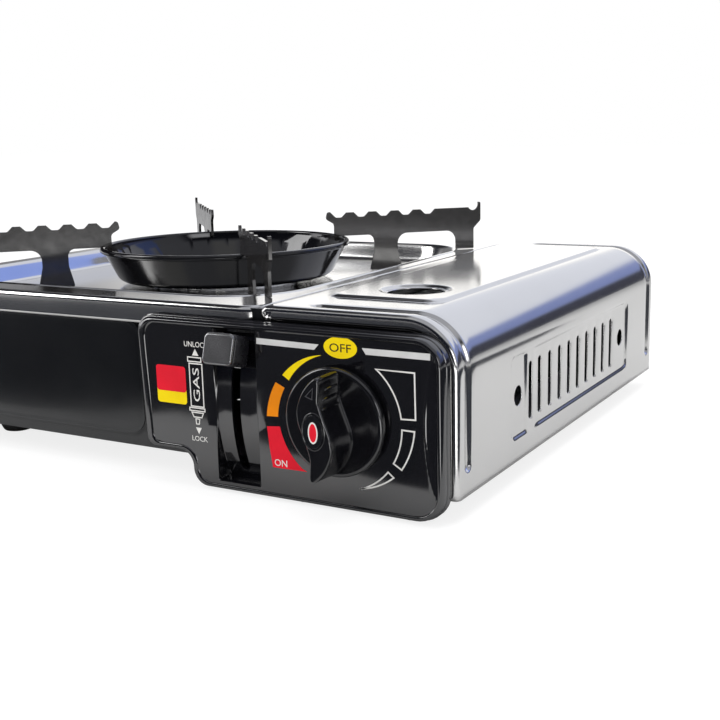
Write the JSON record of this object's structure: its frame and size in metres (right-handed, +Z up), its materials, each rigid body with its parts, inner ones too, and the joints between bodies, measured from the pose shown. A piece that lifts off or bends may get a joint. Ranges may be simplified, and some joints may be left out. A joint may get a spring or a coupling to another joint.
{
  "type": "portable butane cassette stove",
  "caption": "Portable gas stove with a pressed case, drip bowl, sheet pan supports, a hinged cartridge cover, a curved control panel with turning knob and a cartridge lever.",
  "frame": {"origin": "centre of the bounding box's footprint, at the height of the table under the feet", "axes": "+X to the right seen from the front (the long way), +Y to the back, +Z up; the control panel faces -Y"},
  "size_m": [0.343, 0.3038, 0.1112],
  "materials": {
    "case": "black semi-gloss paint on pressed sheet",
    "plate": "satin silver paint on pressed sheet",
    "zinc": "zinc plated sheet",
    "screw": "plated steel",
    "pin": "blackened steel",
    "alloy": "die cast, fine sand texture",
    "pipe": "drawn tube",
    "brass": "turned",
    "panel": "gloss black",
    "grip": "moulded, satin",
    "cap": "metallic grey lacquer, satin",
    "emblem": "printed disc, gloss",
    "enamel": "black enamel, gloss",
    "foot": "matt",
    "seal": "matt",
    "igniter": "moulded",
    "white_plastic": "moulded",
    "lead": "silicone sleeve, matt",
    "ceramic": "unglazed"
  },
  "bodies": {
    "case": {"base_pan": "case", "feet": "foot", "top_plate": "plate", "top_plate_screws": "screw", "partition": "zinc", "control_panel": "panel", "panel_screws": "screw", "guide_plate": "zinc", "cartridge_cradle": "zinc", "pusher_guides": "zinc", "regulator_body": "alloy", "regulator_cover": "alloy", "regulator_screws": "screw", "inlet_seal": "seal", "gas_pipe": "pipe", "pipe_nuts": "brass", "jet_holder": "brass", "jet_nozzle": "brass", "mixing_tube": "zinc", "burner_base": "alloy", "burner_head": "alloy", "burner_cap": "alloy", "burner_bracket": "zinc", "electrode_bracket": "zinc", "electrode_insulator": "ceramic", "electrode_rod": "pin", "igniter_bracket": "zinc", "igniter_body": "igniter", "igniter_lead": "lead", "lever_bracket": "zinc", "lever_pivot_pin": "pin", "hinge_pins": "screw"},
    "lid": {"lid": "plate"},
    "trivet": {"drip_bowl": "enamel", "pan_support_front_right": "enamel", "pan_support_rear_right": "enamel", "pan_support_rear_left": "enamel", "pan_support_front_left": "enamel"},
    "knob": {"knob": "panel", "knob_emblem": "emblem", "valve_spindle": "brass", "igniter_cam": "white_plastic"},
    "igniter_plunger": {"igniter_plunger": "white_plastic"},
    "gas_lever": {"gas_lever": "zinc", "link_pin": "pin", "lever_grip": "grip", "lever_grip_cap": "cap"},
    "pusher": {"pusher_carriage": "zinc"}
  },
  "joints": [
    {"name": "lid_hinge", "type": "hinge", "parent": "case", "child": "lid", "pos_m": [0.0812, 0.01315, 0.0808], "axis": [0, -1, 0], "range_deg": [0, 90]},
    {"name": "trivet_lift", "type": "slide", "parent": "case", "child": "trivet", "axis": [0, 0, 1], "range_m": [0, 0.04]},
    {"name": "knob_turn", "type": "hinge", "parent": "case", "child": "knob", "pos_m": [0.1206, -0.12435, 0.0397], "axis": [0, -1, 0], "range_deg": [0, 125]},
    {"name": "igniter_slide", "type": "slide", "parent": "case", "child": "igniter_plunger", "axis": [0, 0, 1], "range_m": [0, 0.0081]},
    {"name": "lever_swing", "type": "hinge", "parent": "case", "child": "gas_lever", "pos_m": [0.0686, -0.05285, 0.0425], "axis": [1, 0, 0], "range_deg": [0, 31.4]},
    {"name": "pusher_slide", "type": "slide", "parent": "case", "child": "pusher", "axis": [0, -1, 0], "range_m": [0, 0.01211]}
  ],
  "couplings": [
    {"joint": "igniter_slide", "follows": "knob_turn", "m_per_rad": 0.0036669},
    {"joint": "pusher_slide", "follows": "lever_swing", "m_per_rad": 0.021726}
  ]
}
